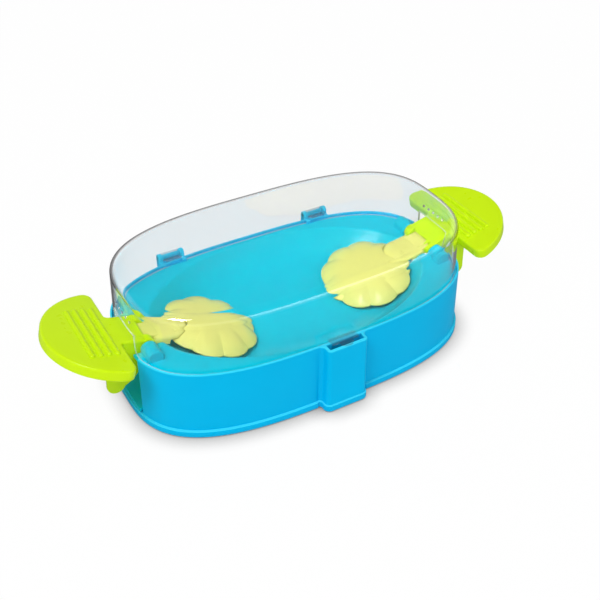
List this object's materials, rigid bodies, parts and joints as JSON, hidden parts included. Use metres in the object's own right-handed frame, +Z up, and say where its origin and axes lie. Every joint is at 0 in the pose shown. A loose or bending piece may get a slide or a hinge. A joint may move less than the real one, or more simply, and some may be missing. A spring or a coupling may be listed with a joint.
{
  "type": "dog puzzle toy",
  "caption": "Oval treat-dispensing dog puzzle: blue tub, clear hinged lid and rocking levers; pressing a green paddle lifts its paw and lets treats roll down the end chute.",
  "frame": {"origin": "middle of the overall box on the resting plane", "axes": "+X along the length to the right paddle, +Y to the lid hinge, +Z up"},
  "size_m": [0.4206, 0.1842, 0.111],
  "materials": {
    "blue_plastic": "injection-moulded polypropylene, satin gloss",
    "blue_tray_plastic": "injection-moulded polypropylene, satin gloss",
    "clear_plastic": "clear moulded plastic",
    "green_plastic": "lime green moulded plastic",
    "yellow_plastic": "pale yellow moulded plastic",
    "steel": "plain steel",
    "rubber": "moulded rubber"
  },
  "bodies": {
    "base": {"tub": "blue_plastic", "tray": "blue_tray_plastic", "base_plate": "blue_plastic", "feet": "rubber", "base_screws": "steel", "hinge_pins": "blue_plastic", "left_axle": "steel", "left_pivot_caps": "blue_tray_plastic", "left_cap_screws": "steel", "right_axle": "steel", "right_pivot_caps": "blue_tray_plastic", "right_cap_screws": "steel"},
    "lid": {"lid": "clear_plastic"},
    "left_lever": {"left_paddle": "green_plastic", "left_arm": "yellow_plastic", "left_paw": "yellow_plastic", "left_arm_screws": "steel", "left_paw_rivets": "yellow_plastic"},
    "right_lever": {"right_paddle": "green_plastic", "right_arm": "yellow_plastic", "right_paw": "yellow_plastic", "right_arm_screws": "steel", "right_paw_rivets": "yellow_plastic"}
  },
  "joints": [
    {"name": "lid_hinge", "type": "hinge", "parent": "base", "child": "lid", "pos_m": [0, 0.0885, 0.064], "axis": [-1, 0, 0], "range_deg": [0, 100]},
    {"name": "left_lever_pivot", "type": "hinge", "parent": "base", "child": "left_lever", "pos_m": [-0.1345, 0.003, 0.062], "axis": [0, -1, 0], "range_deg": [0, 26]},
    {"name": "right_lever_pivot", "type": "hinge", "parent": "base", "child": "right_lever", "pos_m": [0.1345, 0.003, 0.062], "axis": [0, 1, 0], "range_deg": [0, 26]}
  ]
}
